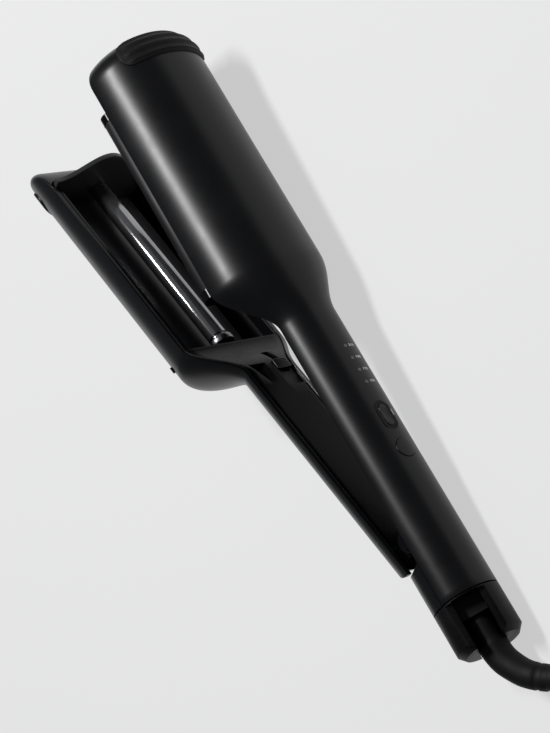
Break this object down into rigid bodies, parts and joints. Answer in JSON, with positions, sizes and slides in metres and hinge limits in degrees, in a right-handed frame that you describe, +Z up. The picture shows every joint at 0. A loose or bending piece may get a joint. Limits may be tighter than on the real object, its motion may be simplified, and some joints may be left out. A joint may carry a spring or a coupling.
{
  "type": "hair waver",
  "caption": "Hinged hair waver: two half-round heads with heated rods in a trough, split handle with button and key, swivel cord and plug.",
  "frame": {"origin": "centre of the tool's bounding box on the surface it lies on, without its cord", "axes": "+Y towards the tips of the jaws, +X the way the upper arm opens, +Z up from the surface the tool lies on"},
  "size_m": [0.2586, 0.4085, 0.0707],
  "materials": {
    "shell_black": "satin",
    "inner_black": "gloss",
    "plate_black": "gloss",
    "rod_black": "mirror-bright dark coating",
    "rubber_black": "matte",
    "steel": "brushed",
    "board_green": "matte",
    "lens": "gloss",
    "heater_white": "matte",
    "cord_black": "satin",
    "pin_brass": "plated"
  },
  "bodies": {
    "upper_arm": {"upper_shell": "shell_black", "rear_cover": "shell_black", "upper_cover": "inner_black", "upper_frame": "inner_black", "upper_plate": "plate_black", "upper_rods": "rod_black", "upper_rod_collars": "inner_black", "upper_heater": "heater_white", "upper_grip_pad": "rubber_black", "control_board": "board_green", "key_bezel": "shell_black", "lamp_lenses": "lens", "tail_cap": "inner_black", "cord_boot": "rubber_black", "cord": "cord_black", "cord_coil": "cord_black", "cord_tie": "rubber_black", "plug_body": "cord_black", "plug_pins": "pin_brass", "hinge_pin": "steel", "hinge_bracket": "steel", "jaw_spring": "steel", "shell_screws": "steel", "lock_hook": "inner_black"},
    "lower_arm": {"lower_shell": "shell_black", "lower_cover": "inner_black", "lower_frame": "inner_black", "lower_plate": "plate_black", "lower_rod": "rod_black", "lower_rod_collars": "steel", "lower_heater": "heater_white", "lower_grip_pad": "rubber_black", "side_nubs": "inner_black", "hinge_knuckle": "inner_black"},
    "power_button": {"power_button": "inner_black"},
    "temperature_key": {"temperature_key": "inner_black"},
    "cord_swivel": {"cord_swivel": "inner_black"},
    "lock_slider": {"lock_slider": "shell_black"}
  },
  "joints": [
    {"name": "jaw_hinge", "type": "hinge", "parent": "upper_arm", "child": "lower_arm", "pos_m": [0.03706, -0.10784, 0.01967], "axis": [0, 0.0797, -0.9968], "range_deg": [0, 11.9], "stiffness_Nm_per_rad": 0.4, "springref_deg": -28.65},
    {"name": "power_press", "type": "slide", "parent": "upper_arm", "child": "power_button", "axis": [-1, 0, 0], "range_m": [0, 0.0006], "stiffness_N_per_m": 400, "springref_m": -0.0004},
    {"name": "temperature_rock", "type": "hinge", "parent": "upper_arm", "child": "temperature_key", "pos_m": [0.05106, -0.05571, 0.02384], "axis": [0, 0.0797, -0.9968], "range_deg": [-3.5, 3.5], "stiffness_Nm_per_rad": 0.05},
    {"name": "cord_turn", "type": "hinge", "parent": "upper_arm", "child": "cord_swivel", "pos_m": [0.03906, -0.14572, 0.01665], "axis": [0, 0.9968, 0.0797], "continuous": true},
    {"name": "lock_slide", "type": "slide", "parent": "lower_arm", "child": "lock_slider", "axis": [-0.1934, 0.978, 0.0782], "range_m": [0, 0.003]}
  ]
}
